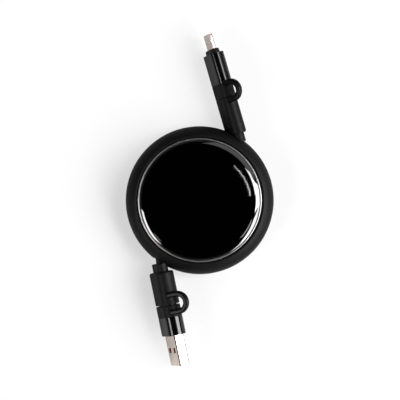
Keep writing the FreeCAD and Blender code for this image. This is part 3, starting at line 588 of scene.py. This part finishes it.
for side, matrix in PLUG.items():
    upright = matrix @ Matrix.Rotation(-ROLL[side], 4, "X")
    low, high = measure(f"{side}_lead", upright)
    half = (low.x + high.x) / 2
    step = (high.x - half) / TWIST_STEPS
    turn = (math.pi / 2 - ROLL[side]) / TWIST_STEPS  # the operator turns the other way about X
    cord = oblong(f"{side}_cord", low.x, half, CABLE_THICKNESS, CABLE_WIDTH, JACKET_CORNER)
    only(cord)
    choose(cord, faces=lambda polygon: polygon.normal.x > 0.9)
    for i in range(TWIST_STEPS):
        bpy.ops.mesh.extrude_region_move(TRANSFORM_OT_translate={"value": (step, 0, 0)})
        place = (half + (i + 1) * step, 0, 0)
        bpy.ops.transform.rotate(value=turn, orient_axis="X", orient_type="GLOBAL", center_override=place)
    bpy.ops.object.mode_set(mode="OBJECT")
    tidy_mesh(cord)
    settle(cord, upright)
    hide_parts(f"{side}_lead")
    upright @ Vector((low.x, 0, 0))
    upright @ Vector((high.x, 0, 0))
    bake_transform(cord)
    cord.data.materials.append(FINISH["cable_jacket"])

# %% [markdown]
# ## The other solids
# The case, the metal plugs and all that is inside keep their solids. Each solid's first material has the
# name of its finish.

# %% Everything else keeps its solid and gets its finish
for name, node in frame["nodes"].items():
    slot = node.data.materials[0].name
    node.data.materials.clear()
    node.data.materials.append(FINISH[slot])
print("solids with a finish:", len(frame["nodes"]))

# %% [markdown]
# ## Camera
# The picture is taken from straight above with a long lens.

# %% Camera
PICTURE_WIDTH = 178.4 * MM
PICTURE_MIDDLE = (0.12 * MM, 0.09 * MM)
LENS = 150.0
SENSOR = 36.0

axis_z = frame["joints"][0]["pos_m"][2]
camera_data = bpy.data.cameras.new("camera")
camera_data.lens = LENS
camera_data.sensor_width = SENSOR
camera = bpy.data.objects.new("camera", camera_data)
camera.location = (*PICTURE_MIDDLE, axis_z + PICTURE_WIDTH * LENS / SENSOR)
bpy.context.scene.collection.objects.link(camera)
bpy.context.scene.camera = camera
print("camera height:", round(camera.location.z, 3))

# %% [markdown]
# ## Light
# A tall softbox on the right lights everything and gives the soft shadow on the left. Two tilted cards
# beside it carry the highlight on along the dome's edge towards the front, a small box above it widens
# the stripe on the sleeves, and a wide, dim one fills the far side. A strip on the left draws the
# highlight opposite. Small lamps high up draw the fine lines on the dome, the longest of them with a row
# of thin lamps, because a mirror that is nearly flat shows a straight lamp as a straight line. Apart from
# them it is dark above, so that the middle of the dome mirrors nothing. Each line below gives azimuth,
# elevation, width, height and brightness, and for a tilted box its roll.

# %% Softboxes
LIGHT_DISTANCE = 2.5
ARC_PIECES = 5


def softbox(name, azimuth, elevation, wide, high, radiance, roll=0.0):
    """An area light at an azimuth from +X and an elevation, with its angular size, all in degrees."""
    around, up = math.radians(azimuth), math.radians(elevation)
    back = Vector((math.cos(around) * math.cos(up), math.sin(around) * math.cos(up), math.sin(up)))
    lamp = bpy.data.lights.new(name, "AREA")
    lamp.shape = "RECTANGLE"
    lamp.size = 2 * LIGHT_DISTANCE * math.tan(math.radians(wide / 2))
    lamp.size_y = 2 * LIGHT_DISTANCE * math.tan(math.radians(high / 2))
    lamp.energy = radiance * math.pi * lamp.size * lamp.size_y
    light = bpy.data.objects.new(name, lamp)
    light.location = back * LIGHT_DISTANCE
    aim = (-back).to_track_quat("-Z", "Y").to_matrix().to_4x4()
    light.rotation_euler = (aim @ Matrix.Rotation(math.radians(roll), 4, "Z")).to_euler()
    light.visible_camera = False
    bpy.context.scene.collection.objects.link(light)
    print(name, round(lamp.energy, 1), "W")


softbox("key", 5.0, 43.0, 19.0, 36.0, 12.0)
softbox("near_card", -23.0, 31.0, 26.0, 34.0, 8.0, 31.0)
softbox("low_card", -45.0, 27.0, 24.0, 10.0, 8.5, 31.0)
softbox("high", 20.0, 60.0, 12.0, 18.0, 7.0)
softbox("strip", -152.0, 38.0, 28.5, 18.0, 7.5, -20.0)
softbox("far_fill", 50.0, 40.0, 46.0, 40.0, 0.55)
softbox("right_glint", -32.0, 67.0, 8.0, 9.0, 2.4)
softbox("left_glint", -138.5, 60.0, 5.0, 3.0, 3.0)
for i in range(ARC_PIECES):
    softbox(f"arc_{i + 1}", 9.0 + 8.0 * i, 82.2 + 0.08 * i, 1.1, 0.1, 10.0 - 1.2 * i)

# %% [markdown]
# ## World and floor
# The world glows faintly near the horizon and is dark above. The camera sees the floor as a mix of its
# lit surface, which holds the shadow, and of plain white. The white grows with the distance, and sooner
# behind the case and in front of the plug, where it paints light into the cast shadow. A mirror sees the
# near floor darker than the camera does, a painted shade in what the gloss and the metal mirror.

# %% World
AMBIENT = 0.1
DARK_HEIGHT, GLOW_HEIGHT = 0.8, 0.3

world = bpy.data.worlds.new("studio")
world.use_nodes = True
bpy.context.scene.world = world
sky = Wire(world.node_tree)
direction = sky.node("ShaderNodeTexCoord", out="Generated")
height = sky.node("ShaderNodeSeparateXYZ", values={"Vector": direction}, out="Z")
glow = height.rise(DARK_HEIGHT, GLOW_HEIGHT)
seen = sky.node("ShaderNodeLightPath", out="Is Camera Ray")
background = world.node_tree.nodes["Background"]
background.inputs["Color"].default_value = grey(1.0)
(glow * (AMBIENT + seen * (1 - AMBIENT))).into(background, "Strength")
print("world glow:", AMBIENT)

# %% Floor
FLOOR_SIZE = 12.0
FLOOR_TONE = 0.75
FAR_FADE = (0.15, 0.6)
BACK_FADE = (0.0, 0.05)
FRONT_FADE = (-0.04, -0.08)
WHITE_NEAR, BACK_WHITE, FRONT_WHITE = 0.55, 0.4, 0.8
MIRROR_NEAR, MIRROR_BACK, MIRROR_FAR = 0.27, 0.4, 0.5

bpy.ops.object.select_all(action="DESELECT")
bpy.ops.mesh.primitive_plane_add(size=FLOOR_SIZE)
floor = named("floor")
made, wire, shader = new_finish("floor", Roughness=0.9, Specular_IOR_Level=0.0)
shader.inputs["Base Color"].default_value = grey(FLOOR_TONE)
place = wire.node("ShaderNodeTexCoord", out="Object")
away = wire.node("ShaderNodeVectorMath", {"operation": "LENGTH"}, {0: place}, out="Value")
far = away.rise(*FAR_FADE)
depth = wire.node("ShaderNodeSeparateXYZ", values={"Vector": place}, out="Y")
# Painted light: the floor turns whiter behind the case and in front of the lower plug, lifting the cast shadow
# there.
behind = depth.rise(*BACK_FADE) * BACK_WHITE
before = depth.rise(*FRONT_FADE) * FRONT_WHITE
pale = wire.math("MAXIMUM", far, behind + before)
ray = wire.node("ShaderNodeLightPath", out="Is Camera Ray")
mirrored = wire.node("ShaderNodeLightPath", out="Is Glossy Ray")
tone = wire.math("MINIMUM", ray + far, 1.0)
white = wire.node("ShaderNodeEmission", values={"Color": tone, "Strength": 1.0})
lit = Wire(made.node_tree, shader.outputs[0])
seen_share = WHITE_NEAR + pale * (1 - WHITE_NEAR)
# Painted shade: glossy rays see the near floor mixed with black, so mirrors show it darker.
mirror_share = MIRROR_NEAR + behind * MIRROR_BACK + far * MIRROR_FAR
share = seen_share * ray + mirror_share * mirrored
mix = wire.node("ShaderNodeMixShader", values={0: share, 1: lit, 2: white})
mix.into(made.node_tree.nodes["Material Output"], "Surface")
floor.data.materials.append(made)
print("floor:", FLOOR_SIZE, "m")

# %% [markdown]
# ## Finish
# The picture is shown with the standard view transform.

# %% Finish
bpy.context.scene.view_settings.view_transform = "Standard"
